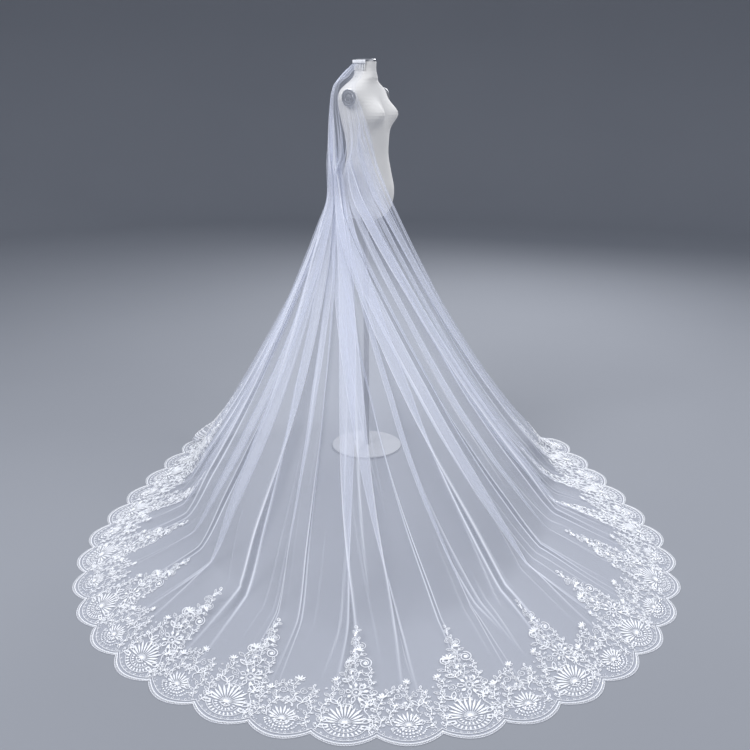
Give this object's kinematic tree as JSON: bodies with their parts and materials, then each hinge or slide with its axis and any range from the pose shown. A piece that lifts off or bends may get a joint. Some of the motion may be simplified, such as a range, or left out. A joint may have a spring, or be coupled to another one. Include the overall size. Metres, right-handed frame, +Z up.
{
  "type": "bridal veil on a dress form",
  "caption": "Cathedral-length tulle bridal veil with a scalloped lace hem, gathered at the neck of a limbless dress form and spread as a wide train.",
  "frame": {"origin": "centre of the underside of the stand's round base, on the floor", "axes": "+Z up; the train spreads towards -Y; the form faces +X, turned 25 degrees towards -Y"},
  "size_m": [2.2164, 2.2125, 1.7553],
  "materials": {
    "form_jersey": "matt white stretch jersey",
    "form_plate": "turned satin metal",
    "stand_steel": "white powder coat",
    "tulle": "sheer white tulle",
    "lace": "white embroidery on net",
    "satin": "white satin cord and band"
  },
  "bodies": {
    "root": {"tulle_panel": "tulle", "lace_border": "lace", "scallop_cord": "satin", "gather_band": "satin", "comb": "stand_steel", "form_torso": "form_jersey", "neck_cap": "form_plate", "arm_cap_right": "form_plate", "arm_cap_left": "form_plate", "stand_collar": "stand_steel", "stand_pole": "stand_steel", "stand_base": "stand_steel"}
  },
  "joints": []
}
